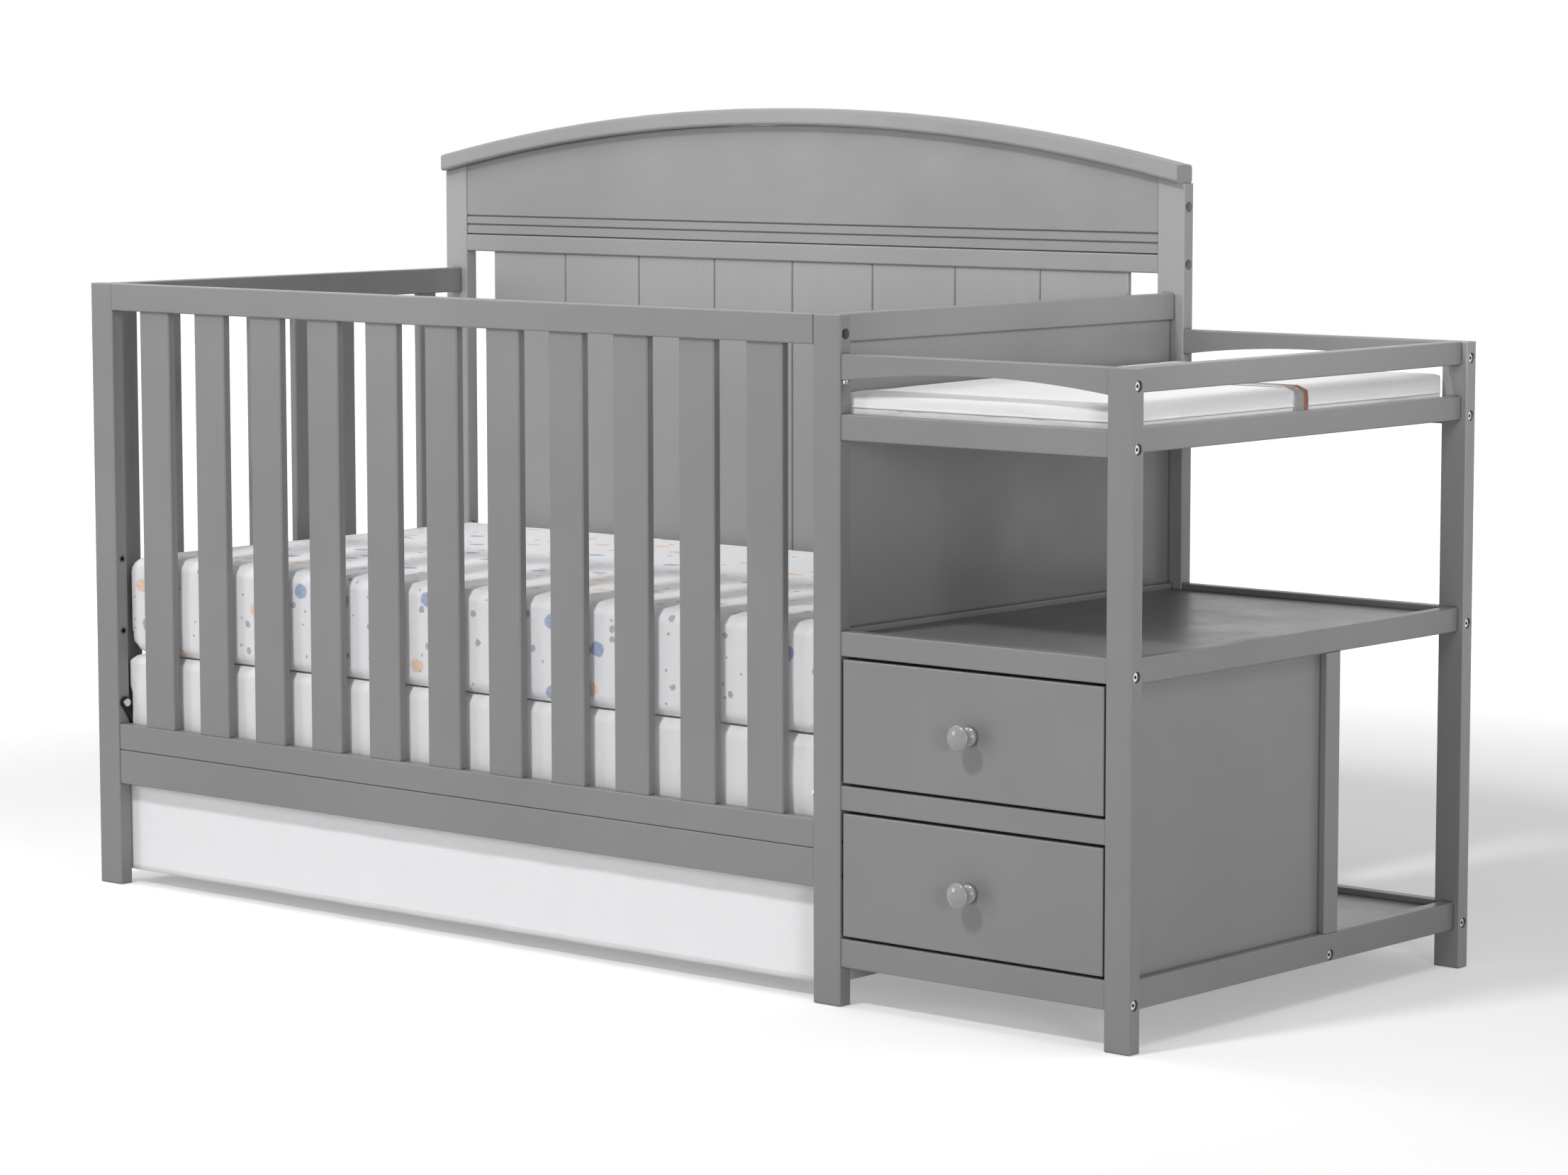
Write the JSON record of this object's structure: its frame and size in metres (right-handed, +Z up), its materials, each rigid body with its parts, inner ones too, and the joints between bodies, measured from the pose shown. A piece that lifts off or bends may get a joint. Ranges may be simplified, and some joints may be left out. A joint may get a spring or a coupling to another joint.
{
  "type": "crib with changing table",
  "caption": "Slatted full-size crib with an arched headboard, joined at one end to a changing table with a padded top, an open shelf and inset drawers.",
  "frame": {"origin": "on the floor under the middle of the whole, knobs included", "axes": "+X along the crib towards the changing table, +Y from the drawer fronts to the headboard, +Z up"},
  "size_m": [1.841, 0.76, 1.1044],
  "materials": {
    "paint": "satin neutral grey paint over wood",
    "bare_wood": "unpainted pale wood",
    "steel": "bright zinc-plated steel",
    "black_steel": "black powder coat",
    "sheet": "cotton knit sheet with pale grey, peach and blue marks",
    "foundation_cover": "plain off-white cover",
    "skirt_cloth": "plain off-white woven cloth",
    "pad_cover": "pale grey wipe-clean cover with a piped seam",
    "strap_webbing": "woven grey and white webbing with a rust edge"
  },
  "bodies": {
    "frame": {"front_left_post": "paint", "front_right_post": "paint", "back_left_post": "paint", "back_right_post": "paint", "front_top_rail": "paint", "front_slats": "paint", "front_bottom_rail": "paint", "front_stretcher": "paint", "left_end_rails": "paint", "left_end_stile": "paint", "left_end_slats": "paint", "right_end_rails": "paint", "right_end_panels": "paint", "headboard_crown": "paint", "headboard_upper_panel": "paint", "headboard_cross_rail": "paint", "headboard_plank_panel": "paint", "headboard_bottom_rail": "paint", "mattress_support": "black_steel", "support_brackets": "black_steel", "bracket_bolts": "steel", "support_inserts": "steel", "foundation_mattress": "foundation_cover", "mattress": "sheet", "skirt_deck": "skirt_cloth", "skirt_drops": "skirt_cloth", "changer_front_post": "paint", "changer_back_post": "paint", "changer_arched_rails": "paint", "changer_lower_rails": "paint", "changer_side_rails": "paint", "changing_board": "paint", "changing_pad": "pad_cover", "pad_strap": "strap_webbing", "shelf_long_rails": "paint", "shelf_board": "paint", "drawer_divider_rail": "paint", "base_long_rails": "paint", "base_cross_rail": "paint", "base_board": "paint", "board_cleats": "paint", "cabinet_side_panel": "paint", "cabinet_rear_stile": "paint", "cabinet_back_panel": "paint", "runner_spacers": "bare_wood", "drawer_runners": "steel", "frame_bolts": "steel", "barrel_nuts": "steel"},
    "upper_drawer": {"upper_drawer_front": "paint", "upper_drawer_sides": "bare_wood", "upper_drawer_back": "bare_wood", "upper_drawer_bottom": "bare_wood", "upper_drawer_slides": "steel", "upper_drawer_knob": "paint"},
    "lower_drawer": {"lower_drawer_front": "paint", "lower_drawer_sides": "bare_wood", "lower_drawer_back": "bare_wood", "lower_drawer_bottom": "bare_wood", "lower_drawer_slides": "steel", "lower_drawer_knob": "paint"}
  },
  "joints": [
    {"name": "upper_drawer_slide", "type": "slide", "parent": "frame", "child": "upper_drawer", "axis": [0, -1, 0], "range_m": [0, 0.29]},
    {"name": "lower_drawer_slide", "type": "slide", "parent": "frame", "child": "lower_drawer", "axis": [0, -1, 0], "range_m": [0, 0.29]}
  ]
}
